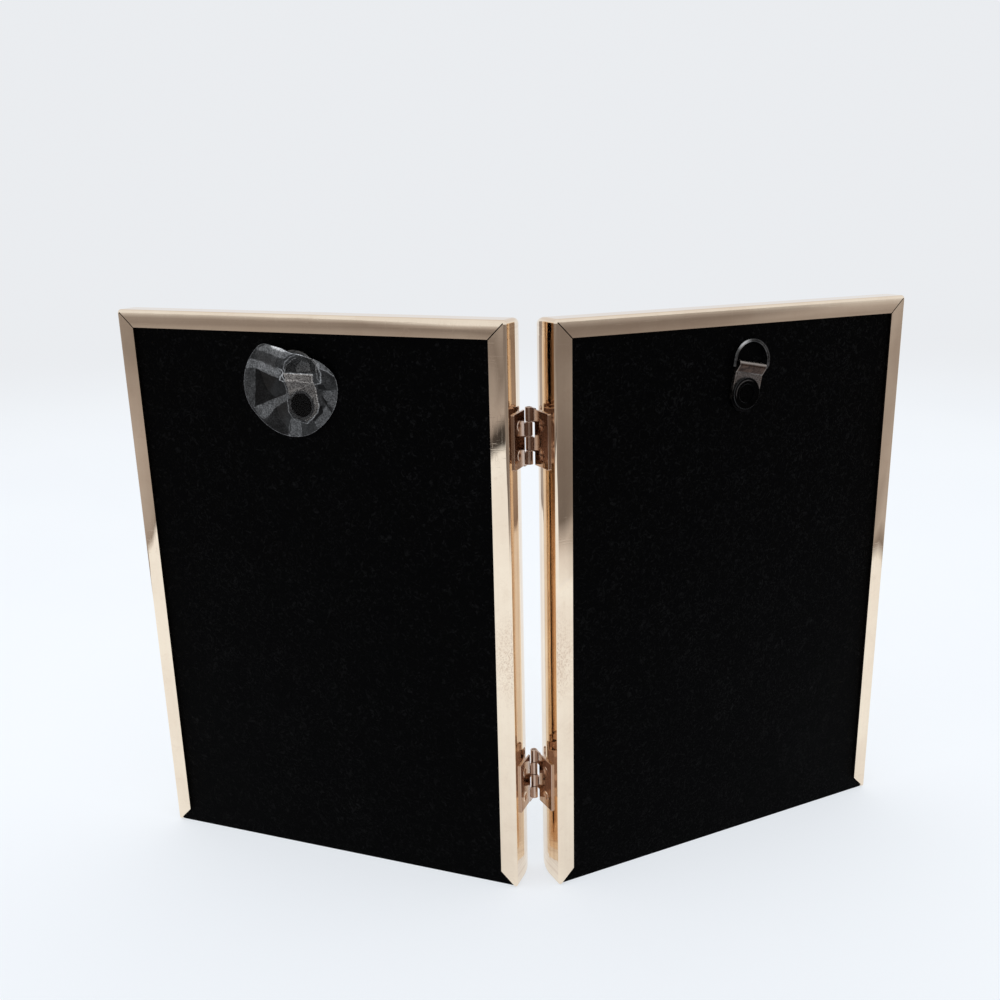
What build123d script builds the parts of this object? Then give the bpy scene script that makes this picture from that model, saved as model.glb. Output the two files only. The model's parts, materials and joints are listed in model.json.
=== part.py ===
"""Hinged double photo frame: two upright metal frames joined along one side by two butt hinges.

Millimetres, +Z up, pictures facing -Y, backs facing +Y. The origin lies under the middle of the
opened pair, on the surface that it stands on. Left and right are as seen from the picture side.

Each frame is drawn upright about its own local axes: x across the frame from its middle,
y its depth measured back from the plane of the hinge pins, z up from its foot. It is then swung
about the pins to its side of the V. side is 1 for the right frame and -1 for the left one, so the
hinges are at side * -x in either frame.
"""

import math
import os

from build123d import *

# The opened pair
frame_width = 131.6
frame_height = 182.4
opening_angle = 132.5
pin_to_wall = 0.75
pin_to_front = 0.5

# Pressed metal rail of each frame
sheet = 0.8
frame_depth = 14.75
flat_wall = 6.85
wall_curve_radius = 17.0
shoulder_radius = 1.6
corner_radius = 1.2
rear_edge_radius = 0.9
front_land = 0.4
bevel_drop = 2.8
sight_inset = 7.3
sight_flange = 1.3
lip_width = 5.5
lip_tip = 0.3
mitre_slit = 0.3
mitre_web = 0.9
overrun = 1.0

# Glass and papers behind the bevel
glass_thickness = 2.0
glass_edge_gap = 0.35
glass_edge_chamfer = 0.2
insert_thickness = 0.3
packing_back_gap = 0.25
packing_edge_gap = 0.8

# Covered back panel, which slides out downward
board_thickness = 2.65
cover_thickness = 0.35
channel_gap = 0.2
panel_side_gap = 0.3
panel_top_gap = 0.5
panel_foot_gap = 0.2
panel_corner_radius = 0.6

# Butt hinges, each with four knuckles
hinge_from_middle = 56.4
hinge_drop = 0.7
knuckle_count = 4
knuckle_pitch = 4.4
knuckle_gap = 0.18
knuckle_chamfer = 0.12
pin_diameter = 1.1
pin_end_inset = 0.3
pin_end_chamfer = 0.15
pin_running_gap = 0.03
leaf_sheet = 0.55
leaf_length = 16.8
leaf_reach = 11.6
leaf_corner_radius = 0.45
leaf_edge_radius = 0.18
leaf_notch_gap = 2.1

# Countersunk rivets that hold the hinge leaves
leaf_rivet_depth = 7.9
leaf_rivet_spread = 8.8
leaf_rivet_head_diameter = 3.3
leaf_rivet_shank_diameter = 1.9
leaf_rivet_sink = 0.03
leaf_rivet_fit = 0.03
leaf_rivet_dish = 0.3
leaf_rivet_dish_share = 0.84
leaf_rivet_tail_diameter = 2.7
leaf_rivet_tail_height = 0.4

# Hanger on each back panel: dished rivet, folded strap and D-ring
strap_width = 10.4
strap_sheet = 0.55
strap_foot = 5.85
rivet_to_bar = 8.6
strap_slope_share = 0.3
strap_slope_angle = 25.0
hanger_gap = 0.15
wire_diameter = 1.25
ring_running_gap = 0.06
ring_width = 14.0
ring_height = 8.4
ring_corner_radius = 1.1
ring_rest_gap = 0.25
ring_end_drop = 1.0
hanger_rivet_head_diameter = 9.9
hanger_rivet_head_height = 0.8
hanger_rivet_dish_diameter = 6.0
hanger_rivet_dish_depth = 0.5
hanger_rivet_edge_radius = 0.3
hanger_rivet_shank_diameter = 4.0
hanger_rivet_tail_diameter = 6.4
hanger_rivet_tail_height = 0.5
hanger_rivet_fit = 0.05
hanger_rivet_head_gap = 0.08
tail_pocket_depth = 0.65

# Place of each hanger on its panel: outward from the panel's middle, down from the top, and tilt
left_hanger_outward = 1.2
left_hanger_drop = 26.6
left_hanger_tilt = 11.0
right_hanger_outward = 0.5
right_hanger_drop = 26.9
right_hanger_tilt = 4.6
right_ring_lift = 12.0

# Clear round sticker pressed over the right frame's hanger, with two edges folded straight: its
# middle counted outward and up from the rivet, its size from how far it has to reach
sticker_outward = 4.2
sticker_up = 5.0
sticker_side_gap = 0.5
sticker_film = 0.25
sticker_lift = 0.05
sticker_top_gap = 0.35
sticker_slope = 3.0
sticker_fold_angles = (12.2, -140.3)
sticker_fold_insets = (2.9, 1.8)
sticker_fold_slope = 0.3

# Depths behind the pins, front to back
front_face = pin_to_front
back_face = front_face + frame_depth
curve_depth = back_face - flat_wall
sight_depth = front_face + bevel_drop
glass_front = sight_depth + sight_flange
insert_front = glass_front + glass_thickness
packing_front = insert_front + insert_thickness
cover_back = back_face - sheet - channel_gap
cover_front = cover_back - cover_thickness
board_front = cover_front - board_thickness
packing_thickness = board_front - packing_back_gap - packing_front
slot_front = board_front - channel_gap

# Place of the pins, which puts the origin under the middle of the pair
swing = math.radians((180 - opening_angle) / 2)
shoulder_depth = front_face + shoulder_radius
shoulder_inset = wall_curve_radius - math.sqrt(
    (wall_curve_radius - shoulder_radius) ** 2 - (curve_depth - shoulder_depth) ** 2
)
rear_reach = (
    (back_face - rear_edge_radius) * math.cos(swing)
    - (pin_to_wall + rear_edge_radius) * math.sin(swing)
    + rear_edge_radius
)
front_reach = (
    (pin_to_wall + frame_width - shoulder_inset) * math.sin(swing)
    - shoulder_depth * math.cos(swing)
    + shoulder_radius
)
pin_y = (front_reach - rear_reach) / 2
frame_middle = frame_height / 2
hinge_middle = frame_middle - hinge_drop
hinge_heights = {"upper": hinge_middle + hinge_from_middle, "lower": hinge_middle - hinge_from_middle}
sides = {"right": 1, "left": -1}


def behind_pins(depth):
    """Upright plane across a frame at one depth, facing the picture side."""
    return Plane.XZ.offset(-depth)


def frame_place(side, across=0):
    """Axes of a frame swung to its side of the V, with x counted from the pins plus across."""
    sideways = Vector(math.cos(swing), -side * math.sin(swing), 0)
    return Plane(Vector(0, pin_y, 0) + sideways * across, x_dir=sideways, z_dir=(0, 0, 1))


def pin_place(side):
    """Axes of a frame with their origin at the foot of the hinge pins."""
    return frame_place(side)


def middle_place(side):
    """Axes of a frame with their origin at the middle of its foot."""
    return frame_place(side, side * (pin_to_wall + frame_width / 2))


def keep(piece, name):
    """Labels a finished piece and writes it under its name."""
    piece.label = name
    export_step(piece, f"parts/{name}.step")


def rail_outline(width, inset):
    """Depth section of a frame this wide: flat walls, gently curved sides, round shoulders."""
    half = width / 2 - inset
    curve = wall_curve_radius - inset
    curve_middle = half - curve
    shoulder_middle = width / 2 - shoulder_inset
    reach = wall_curve_radius - shoulder_inset
    turn = math.degrees(math.atan2(shoulder_depth - curve_depth, reach))
    with BuildSketch() as section:
        with BuildLine():
            Line((half, back_face - inset), (half, curve_depth))
            CenterArc((curve_middle, curve_depth), curve, 0, turn)
            CenterArc((shoulder_middle, shoulder_depth), shoulder_radius - inset, turn, -90 - turn)
            Line((shoulder_middle, front_face + inset), (-shoulder_middle, front_face + inset))
            CenterArc((-shoulder_middle, shoulder_depth), shoulder_radius - inset, -90, -90 - turn)
            CenterArc((-curve_middle, curve_depth), curve, 180 - turn, turn)
            Line((-half, curve_depth), (-half, back_face - inset))
            Line((-half, back_face - inset), (half, back_face - inset))
        make_face()
    return section.sketch


def pressed_form(inset):
    """Solid block with the outer shape of a frame, drawn in on every side by inset."""
    across = rail_outline(frame_width, inset)
    upright = rail_outline(frame_height, inset)
    up_the_frame = Plane((0, 0, frame_middle), x_dir=(0, 0, 1), z_dir=(-1, 0, 0))
    with BuildPart() as form:
        with BuildSketch(Plane.XY.offset(inset)):
            add(across)
        extrude(amount=frame_height - inset * 2)
        with BuildSketch(up_the_frame):
            add(upright)
        extrude(amount=frame_width / 2, both=True, mode=Mode.INTERSECT)
        straight_corners = form.edges().filter_by(Axis.Y)
        curved_corners = form.edges().filter_by(GeomType.ELLIPSE)
        fillet(straight_corners + curved_corners, radius=corner_radius - inset)
    return form.part


def sight_block(start_inset, depth_shift, opening_inset):
    """Block that fills the bevelled picture opening down to the seat of the glass."""
    slope = (sight_inset - start_inset) / bevel_drop
    outer_inset = start_inset - slope * overrun
    front = front_face + depth_shift - overrun
    with BuildPart() as block:
        for inset, depth in ((outer_inset, front), (sight_inset, sight_depth + depth_shift)):
            with BuildSketch(behind_pins(depth)):
                with Locations((0, frame_middle)):
                    Rectangle(frame_width - inset * 2, frame_height - inset * 2)
        loft(ruled=True)
        with BuildSketch(behind_pins(front)):
            with Locations((0, frame_middle)):
                Rectangle(frame_width - opening_inset * 2, frame_height - opening_inset * 2)
        extrude(amount=front - glass_front)
    return block.part


def lip_opening():
    """Rear opening between the lips, flared at the foot by their 45 degree ends."""
    lip_x = frame_width / 2 - lip_width
    tip_x = frame_width / 2 - lip_tip
    with BuildPart() as opening:
        with BuildSketch(behind_pins(back_face + overrun)):
            with BuildLine():
                Polyline(
                    (-lip_x, frame_height - lip_width),
                    (lip_x, frame_height - lip_width),
                    (lip_x, tip_x - lip_x),
                    (tip_x, 0),
                    (tip_x, -overrun),
                    (-tip_x, -overrun),
                    (-tip_x, 0),
                    (-lip_x, tip_x - lip_x),
                    close=True,
                )
            make_face()
        extrude(amount=overrun + sheet + channel_gap)
    return opening.part


def frame_shell(side):
    """One-piece pressed shell: bevelled front, four walls and three rear lips with open mitres."""
    bevel_start = shoulder_inset + front_land
    slope = (sight_inset - bevel_start) / bevel_drop
    sheet_shift = sheet * math.hypot(1, slope) / slope
    metal_front = sight_block(bevel_start, sheet_shift, sight_inset - sheet)
    picture_opening = sight_block(bevel_start, 0, sight_inset)
    outer = pressed_form(0)
    inner = pressed_form(sheet)
    opening = lip_opening()
    slit_length = math.hypot(1, 1) * (lip_width + overrun - mitre_web)
    mitre_middle = (lip_width + overrun + mitre_web) / 2
    inner_half = frame_width / 2 - sheet
    with BuildPart() as hollow:
        add(inner)
        add(metal_front, mode=Mode.SUBTRACT)
    with BuildPart() as shell:
        add(outer)
        rear_edges = shell.faces().sort_by(Axis.Y)[-1].edges()
        fillet(rear_edges, radius=rear_edge_radius)
        add(hollow.part, mode=Mode.SUBTRACT)
        add(picture_opening, mode=Mode.SUBTRACT)
        add(opening, mode=Mode.SUBTRACT)
        with BuildSketch(Plane.XY.offset(-overrun)):
            with Locations((0, (slot_front + back_face - sheet) / 2)):
                Rectangle(inner_half * 2, back_face - sheet - slot_front)
        extrude(amount=overrun + sheet * 2, mode=Mode.SUBTRACT)
        with BuildSketch(behind_pins(back_face + overrun)):
            for turn in (1, -1):
                with Locations((turn * (frame_width / 2 - mitre_middle), frame_height - mitre_middle)):
                    Rectangle(slit_length, mitre_slit, rotation=turn * 45)
        extrude(amount=overrun + sheet + channel_gap, mode=Mode.SUBTRACT)
        with BuildSketch(Plane.YZ.offset(-side * (frame_width / 2 + overrun))):
            with Locations(*leaf_rivet_spots()):
                Circle(leaf_rivet_shank_diameter / 2 + leaf_rivet_fit)
        extrude(amount=side * (overrun + sheet * 2), mode=Mode.SUBTRACT)
    return middle_place(side).from_local_coords(shell.part)


def glass_inset():
    """Distance of the glass's edges from the frame's, clear of the curved walls at its front."""
    fall = max(curve_depth - glass_front, 0)
    wall_inset = wall_curve_radius - math.sqrt((wall_curve_radius - sheet) ** 2 - fall**2)
    return wall_inset + glass_edge_gap


def flat_sheet(side, front, thickness, inset, edge_chamfer=0):
    """Rectangular sheet inside the shell's walls, its front face at the given depth."""
    with BuildPart() as piece:
        with BuildSketch(behind_pins(front)):
            with Locations((0, frame_middle)):
                Rectangle(frame_width - inset * 2, frame_height - inset * 2)
        extrude(amount=-thickness)
        if edge_chamfer > 0:
            chamfer(piece.edges(), length=edge_chamfer)
    return middle_place(side).from_local_coords(piece.part)


def hanger_spot(side):
    """Place and tilt of the hanger: across and up the panel in the frame's axes, and degrees."""
    if side == sides["left"]:
        return -left_hanger_outward, frame_height - left_hanger_drop, left_hanger_tilt
    return right_hanger_outward, frame_height - right_hanger_drop, right_hanger_tilt


def panel_sheet(side, front, thickness, hole_diameter, pocket_depth=0):
    """Sheet of the back panel with a hole for the hanger's rivet and a pocket for its tail."""
    across, height, _ = hanger_spot(side)
    rivet_axis = Plane((across, front, height), x_dir=(1, 0, 0), z_dir=(0, -1, 0))
    width = frame_width - (sheet + panel_side_gap) * 2
    top = frame_height - sheet - panel_top_gap
    with BuildPart() as piece:
        with BuildSketch(behind_pins(front)):
            with Locations((0, (top + panel_foot_gap) / 2)):
                RectangleRounded(width, top - panel_foot_gap, panel_corner_radius)
        extrude(amount=-thickness)
        with Locations(rivet_axis):
            if pocket_depth > 0:
                pocket_radius = hanger_rivet_tail_diameter / 2 + hanger_rivet_fit
                CounterBoreHole(hole_diameter / 2, pocket_radius, pocket_depth, thickness)
            else:
                Hole(hole_diameter / 2, thickness)
    return middle_place(side).from_local_coords(piece.part)


def leaf_rivet_spots():
    """Depth and height of the four hinge rivets of a frame."""
    step = leaf_rivet_spread / 2
    return [(leaf_rivet_depth, height + turn * step) for height in hinge_heights.values() for turn in (1, -1)]


def knuckle(radius, foot):
    """One barrel section of a hinge, with its ends eased, standing at the given height."""
    with BuildPart() as barrel:
        with BuildSketch(Plane.XY.offset(foot)):
            Circle(radius)
        extrude(amount=knuckle_pitch - knuckle_gap)
        chamfer(barrel.edges(), length=knuckle_chamfer)
    return barrel.part


def hinge_leaf(side, height):
    """Leaf with its two rolled knuckles, flat on the frame's hinge-side wall.

    Counted from the top, the left leaf has knuckles 1 and 3 and the right leaf 2 and 4.
    """
    bore_radius = pin_diameter / 2 + pin_running_gap
    knuckle_radius = bore_radius + leaf_sheet
    plate_front = knuckle_radius + leaf_notch_gap
    plate_middle = side * (pin_to_wall - leaf_sheet / 2)
    first_knuckle = 1 if side == sides["left"] else 0
    with BuildPart() as leaf:
        with BuildSketch(Plane.XY.offset(height - leaf_length / 2)):
            with Locations((plate_middle, (plate_front + leaf_reach) / 2)):
                Rectangle(leaf_sheet, leaf_reach - plate_front)
        extrude(amount=leaf_length)
        free_corners = leaf.edges().filter_by(Axis.X).group_by(Axis.Y)[-1]
        fillet(free_corners, radius=leaf_corner_radius)
        outer_face = leaf.faces().sort_by(Axis.X)[0 if side == sides["right"] else -1]
        fillet(outer_face.edges().sort_by(Axis.Y)[1:], radius=leaf_edge_radius)
        for count in range(first_knuckle, knuckle_count, 2):
            foot = height + (count - knuckle_count / 2) * knuckle_pitch + knuckle_gap / 2
            add(knuckle(knuckle_radius, foot))
            with BuildSketch(Plane.XY.offset(foot)):
                with Locations((plate_middle, plate_front / 2)):
                    Rectangle(leaf_sheet, plate_front)
            extrude(amount=knuckle_pitch - knuckle_gap)
        with Locations((0, 0, height)):
            Cylinder(bore_radius, knuckle_pitch * knuckle_count + overrun, mode=Mode.SUBTRACT)
        for turn in (1, -1):
            rivet_height = height + turn * leaf_rivet_spread / 2
            spot = (side * (pin_to_wall - leaf_sheet), leaf_rivet_depth, rivet_height)
            with Locations(Plane(spot, x_dir=(0, 1, 0), z_dir=(-side, 0, 0))):
                CounterSinkHole(
                    leaf_rivet_shank_diameter / 2 + leaf_rivet_fit,
                    leaf_rivet_head_diameter / 2 + leaf_rivet_fit,
                    depth=leaf_sheet + overrun,
                    counter_sink_angle=countersink_angle(),
                )
    return pin_place(side).from_local_coords(leaf.part)


def countersink_angle():
    """Cone angle that brings a leaf rivet's head down to its shank within the leaf."""
    fall = (leaf_rivet_head_diameter - leaf_rivet_shank_diameter) / 2
    return 2 * math.degrees(math.atan2(fall, leaf_sheet))


def leaf_rivet():
    """Flush dished rivet along x, from the leaf's outer face at 0 to its tail inside the wall."""
    head = leaf_rivet_head_diameter / 2
    shank = leaf_rivet_shank_diameter / 2
    tail = leaf_rivet_tail_diameter / 2
    tail_edge = curve_depth - leaf_rivet_depth + tail
    wall_inset = wall_curve_radius - math.sqrt((wall_curve_radius - sheet) ** 2 - tail_edge**2)
    tail_start = leaf_sheet + wall_inset + leaf_rivet_fit
    tail_end = tail_start + leaf_rivet_tail_height
    dish_rim = head * leaf_rivet_dish_share
    dish_depth = leaf_rivet_dish - leaf_rivet_sink
    dish_radius = (dish_rim**2 + dish_depth**2) / (dish_depth * 2)
    dish_turn = math.degrees(math.asin(dish_rim / dish_radius))
    rim_step = leaf_rivet_sink * (head - shank) / leaf_sheet
    with BuildPart() as rivet:
        with BuildSketch():
            with BuildLine():
                CenterArc((leaf_rivet_dish - dish_radius, 0), dish_radius, 0, dish_turn)
                Polyline(
                    (leaf_rivet_sink, dish_rim),
                    (leaf_rivet_sink, head - rim_step),
                    (leaf_sheet, shank),
                    (tail_start, shank),
                    (tail_start, tail),
                    (tail_end, shank),
                    (tail_end, 0),
                    (leaf_rivet_dish, 0),
                )
            make_face()
        revolve(axis=Axis.X)
    return rivet.part


def leaf_rivets(side):
    """The four rivets of one frame's two hinge leaves."""
    rivet = leaf_rivet()
    face = side * (pin_to_wall - leaf_sheet)
    with BuildPart() as rivets:
        for depth, height in leaf_rivet_spots():
            with Locations(Plane((face, depth, height), x_dir=(side, 0, 0), z_dir=(0, 0, 1))):
                add(rivet)
    return pin_place(side).from_local_coords(rivets.part)


def hinge_pin(height):
    """Plain pin through the four knuckles, its ends just inside the open barrel."""
    length = knuckle_pitch * knuckle_count - pin_end_inset * 2
    with BuildPart() as pin:
        with Locations((0, 0, height)):
            Cylinder(pin_diameter / 2, length)
        chamfer(pin.edges().filter_by(GeomType.CIRCLE), length=pin_end_chamfer)
    return pin_place(sides["right"]).from_local_coords(pin.part)


def hang(side, piece):
    """Puts a hanger piece, drawn about its rivet with y out of the panel, on its panel."""
    across, height, tilt = hanger_spot(side)
    lean = side * math.radians(tilt)
    spot = Plane(
        (across, cover_back, height),
        x_dir=(math.cos(lean), 0, -math.sin(lean)),
        z_dir=(math.sin(lean), 0, math.cos(lean)),
    )
    return middle_place(side).from_local_coords(spot.from_local_coords(piece))


def bar_height():
    """Height of the D-ring's bar above the panel."""
    return hanger_gap + wire_diameter / 2 + ring_running_gap + strap_sheet


def strap_top():
    """Height of the strap's outer face above the panel, its sheet lying doubled there."""
    return hanger_gap + strap_sheet * 2


def hanger_strap():
    """Strap folded round the D-ring's bar, with a round foot under the rivet."""
    roll_radius = wire_diameter / 2 + ring_running_gap + strap_sheet
    bore_radius = wire_diameter / 2 + ring_running_gap
    slope_end = rivet_to_bar * (1 - strap_slope_share)
    slope_turn = math.radians(strap_slope_angle)
    slope_start = (
        bar_height() + roll_radius * math.cos(slope_turn),
        rivet_to_bar - roll_radius * math.sin(slope_turn),
    )
    with BuildPart() as strap:
        with BuildSketch(Plane.YZ):
            with Locations((bar_height(), rivet_to_bar)):
                Circle(roll_radius)
            with BuildLine():
                Polyline(
                    (hanger_gap, rivet_to_bar),
                    (hanger_gap, -strap_foot),
                    (strap_top(), -strap_foot),
                    (strap_top(), slope_end),
                    slope_start,
                    (bar_height(), rivet_to_bar),
                    close=True,
                )
            make_face()
        extrude(amount=strap_width / 2, both=True)
        with BuildSketch(Plane.XZ.offset(-bar_height() - roll_radius)):
            Rectangle(strap_width, rivet_to_bar + roll_radius, align=(Align.CENTER, Align.MIN))
            foot_middle = strap_foot - strap_width / 2
            with Locations((0, -foot_middle)):
                Circle(strap_width / 2)
                Rectangle(strap_width, foot_middle, align=(Align.CENTER, Align.MIN))
        extrude(amount=bar_height() + roll_radius, mode=Mode.INTERSECT)
        with Locations(Plane((0, strap_top(), 0), x_dir=(1, 0, 0), z_dir=(0, 1, 0))):
            Hole(hanger_rivet_shank_diameter / 2 + hanger_rivet_fit, strap_top())
        with Locations(Plane((0, bar_height(), rivet_to_bar), x_dir=(0, 1, 0), z_dir=(1, 0, 0))):
            Cylinder(bore_radius, strap_width + overrun, mode=Mode.SUBTRACT)
    return strap.part


def ring_lean(side):
    """Lean of a D-ring towards its panel: it rests there, or is lifted under the sticker."""
    if side == sides["right"]:
        return -math.radians(right_ring_lift)
    drop = bar_height() - wire_diameter / 2 - ring_rest_gap
    return math.asin(drop / (ring_height - wire_diameter / 2))


def hanger_ring(side):
    """Open D-ring of bent wire: its bar runs through the strap's roll and its free end stands
    beside the roll on the hinge side."""
    half = (ring_width - wire_diameter) / 2
    bow_top = ring_height - wire_diameter / 2
    straight = bow_top - half
    lean = ring_lean(side)
    leaning = Plane(
        (0, bar_height(), rivet_to_bar), x_dir=(1, 0, 0), z_dir=(0, -math.cos(lean), -math.sin(lean))
    )
    bar_end = strap_width / 2
    with BuildPart() as ring:
        with BuildLine(leaning) as wire:
            bar = Line((-side * bar_end, 0), (side * (half - ring_corner_radius), 0))
            corner = TangentArc(bar @ 1, (side * half, ring_corner_radius), tangent=bar % 1)
            rise = Line(corner @ 1, (side * half, straight))
            bow = TangentArc(rise @ 1, (-side * half, straight), tangent=rise % 1)
            Line(bow @ 1, (-side * half, -ring_end_drop))
        with BuildSketch(Plane(wire.line @ 0, z_dir=wire.line % 0)):
            Circle(wire_diameter / 2)
        sweep()
    return ring.part


def hanger_rivet():
    """Dished rivet through the strap and the panel, its tail let into the board's front."""
    head = hanger_rivet_head_diameter / 2
    dish = hanger_rivet_dish_diameter / 2
    shank = hanger_rivet_shank_diameter / 2
    tail = hanger_rivet_tail_diameter / 2
    head_foot = strap_top() + hanger_rivet_head_gap
    head_top = head_foot + hanger_rivet_head_height
    tail_top = board_front + tail_pocket_depth - cover_back - hanger_rivet_fit
    with BuildPart() as rivet:
        with BuildSketch() as section:
            with BuildLine():
                Polyline(
                    (0, head_top - hanger_rivet_dish_depth),
                    (dish - hanger_rivet_dish_depth / 2, head_top - hanger_rivet_dish_depth),
                    (dish, head_top),
                    (head, head_top),
                    (head, head_foot),
                    (shank, head_foot),
                    (shank, tail_top),
                    (tail, tail_top),
                    (tail, tail_top - hanger_rivet_tail_height),
                    (0, tail_top - hanger_rivet_tail_height),
                    close=True,
                )
            make_face()
            rim = section.vertices().group_by(Axis.Y)[-1]
            fillet(rim, radius=hanger_rivet_edge_radius)
        revolve(axis=Axis.Y)
    return rivet.part


def sticker_radius():
    """Radius that takes in the hanger's ring and foot, the side gap, the film and its slope."""
    turn = math.radians(right_hanger_tilt)
    bow_middle = rivet_to_bar + ring_height - ring_width / 2
    furthest = 0
    for out, up in ((0, rivet_to_bar + ring_height), (-ring_width / 2, bow_middle), (0, -strap_foot)):
        away_across = out * math.cos(turn) + up * math.sin(turn) - sticker_outward
        away_up = up * math.cos(turn) - out * math.sin(turn) - sticker_up
        furthest = max(furthest, math.hypot(away_across, away_up))
    return furthest + sticker_side_gap + sticker_film + sticker_slope


def sticker_outline(draw_in, fold_draw_in):
    """Round outline of the sticker with its two straight folds, drawn in from the cut size."""
    radius = sticker_radius() - draw_in
    with BuildSketch() as outline:
        Circle(radius)
        for angle, fold in zip(sticker_fold_angles, sticker_fold_insets):
            distance = sticker_radius() - fold - fold_draw_in
            turn = math.radians(angle)
            middle = (-math.sin(turn) * (distance + radius), math.cos(turn) * (distance + radius))
            with Locations(middle):
                Rectangle(radius * 4, radius * 2, rotation=angle, mode=Mode.SUBTRACT)
    return outline.sketch


def sticker_block(film, lift, top):
    """Low block under the sticker's outline, sloping in towards its raised middle."""
    foot_outline = sticker_outline(film, film)
    top_outline = sticker_outline(film + sticker_slope, film + sticker_fold_slope)
    with BuildPart() as block:
        with BuildSketch(Plane.XZ.offset(-lift)):
            add(foot_outline)
        with BuildSketch(Plane.XZ.offset(-top)):
            add(top_outline)
        loft(ruled=True)
    return block.part


def clear_sticker(side):
    """Thin clear film over the hanger, raised over it and pressed to the panel at its rim."""
    rivet_top = strap_top() + hanger_rivet_head_gap + hanger_rivet_head_height
    bow_rise = (ring_height - wire_diameter / 2) * math.sin(-ring_lean(side))
    ring_top = bar_height() + bow_rise + wire_diameter / 2
    top = max(rivet_top, ring_top) + sticker_top_gap
    outer = sticker_block(0, sticker_lift, top + sticker_film)
    pocket = sticker_block(sticker_film, -overrun, top)
    across, height, _ = hanger_spot(side)
    middle = (across + side * sticker_outward, cover_back, height + sticker_up)
    spot = Plane(middle, x_dir=(1, 0, 0), z_dir=(0, 0, 1))
    with BuildPart() as sticker:
        add(outer)
        add(pocket, mode=Mode.SUBTRACT)
    return middle_place(side).from_local_coords(spot.from_local_coords(sticker.part))


def build_frame(name, side):
    """All the pieces that stand in or on one frame."""
    rivet_hole = hanger_rivet_shank_diameter + hanger_rivet_fit * 2
    keep(frame_shell(side), f"{name}_shell")
    packing_inset = glass_inset() + packing_edge_gap
    keep(flat_sheet(side, glass_front, glass_thickness, glass_inset(), glass_edge_chamfer), f"{name}_glass")
    keep(flat_sheet(side, insert_front, insert_thickness, glass_inset()), f"{name}_photo_insert")
    keep(flat_sheet(side, packing_front, packing_thickness, packing_inset), f"{name}_packing_card")
    board = panel_sheet(side, board_front, board_thickness, rivet_hole, tail_pocket_depth)
    keep(board, f"{name}_backing_board")
    keep(panel_sheet(side, cover_front, cover_thickness, rivet_hole), f"{name}_back_cover")
    keep(hang(side, hanger_rivet()), f"{name}_hanger_rivet")
    keep(hang(side, hanger_strap()), f"{name}_hanger_strap")
    keep(hang(side, hanger_ring(side)), f"{name}_hanger_ring")
    for place, height in hinge_heights.items():
        keep(hinge_leaf(side, height), f"{name}_{place}_hinge_leaf")
    keep(leaf_rivets(side), f"{name}_hinge_rivets")


os.makedirs("parts", exist_ok=True)
for frame_name, frame_side in sides.items():
    build_frame(frame_name, frame_side)
for hinge_name, hinge_height in hinge_heights.items():
    keep(hinge_pin(hinge_height), f"{hinge_name}_hinge_pin")
keep(clear_sticker(sides["right"]), "clear_sticker")
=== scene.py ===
"""Looks of the hinged double photo frame: finishes, a draped clear sticker, and a pale studio.

Metres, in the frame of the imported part: +Z up, pictures facing -Y, backs facing +Y. The camera
stands behind the pair, so the right frame is on the image's left.
"""

import json
import math

import bpy
import numpy as np
from mathutils import Euler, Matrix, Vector


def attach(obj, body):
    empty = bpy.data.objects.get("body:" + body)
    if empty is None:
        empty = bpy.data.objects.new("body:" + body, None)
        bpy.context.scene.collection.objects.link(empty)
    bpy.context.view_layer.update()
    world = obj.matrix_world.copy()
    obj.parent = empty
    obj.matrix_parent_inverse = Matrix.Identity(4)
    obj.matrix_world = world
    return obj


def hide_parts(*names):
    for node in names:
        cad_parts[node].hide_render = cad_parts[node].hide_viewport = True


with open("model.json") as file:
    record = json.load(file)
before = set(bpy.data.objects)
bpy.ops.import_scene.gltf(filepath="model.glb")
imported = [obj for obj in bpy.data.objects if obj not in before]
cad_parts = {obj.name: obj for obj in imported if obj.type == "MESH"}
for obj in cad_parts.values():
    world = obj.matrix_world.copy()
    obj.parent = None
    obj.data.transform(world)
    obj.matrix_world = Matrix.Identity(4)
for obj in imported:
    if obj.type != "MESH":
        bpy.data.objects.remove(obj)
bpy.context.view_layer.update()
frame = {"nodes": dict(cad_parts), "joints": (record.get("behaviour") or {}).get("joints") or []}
nodes = frame["nodes"]
mm = 0.001


# Directions and places of each frame
fold = next(joint for joint in frame["joints"] if joint["name"] == "fold")
pin = Vector(fold["pos_m"])
opening_angle = math.radians(132.5)
lean = (math.pi - opening_angle) / 2
up = Vector((0, 0, 1))
sides = {"right": 1, "left": -1}


def outward(side):
    """Direction across a frame, away from the hinges."""
    return Vector((side * math.cos(lean), -math.sin(lean), 0))


def rearward(side):
    """Direction out of the back of a frame."""
    return Vector((side * math.sin(lean), math.cos(lean), 0))


def span(node, direction):
    """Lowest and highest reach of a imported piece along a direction, measured from the pins."""
    reaches = [(vertex.co - pin).dot(direction) for vertex in nodes[node].data.vertices]
    return min(reaches), max(reaches)


def middle(node, direction):
    """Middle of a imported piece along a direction, measured from the pins."""
    return sum(span(node, direction)) / 2


# How far each hanger's strap leans outward
hanger_tilts = {"right": math.radians(4.6), "left": math.radians(11.0)}

# Rails of the shells: the drawn lines run level above the first height and below the second
lip_width = 5.5 * mm
lip_margin = 0.2 * mm
foot_rail_height = 8.0 * mm
line_change = 0.5 * mm
top_rail_foot = span("right_shell", up)[1] - lip_width - lip_margin
foot_rail_top = span("right_shell", up)[0] + foot_rail_height

# Thumb smudges on the two lips beside the hinges, as middle and reach in mm
thumb_middle = (0.0, 31.0, 80.0)
thumb_reach = (17.0, 17.0, 22.0)

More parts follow.
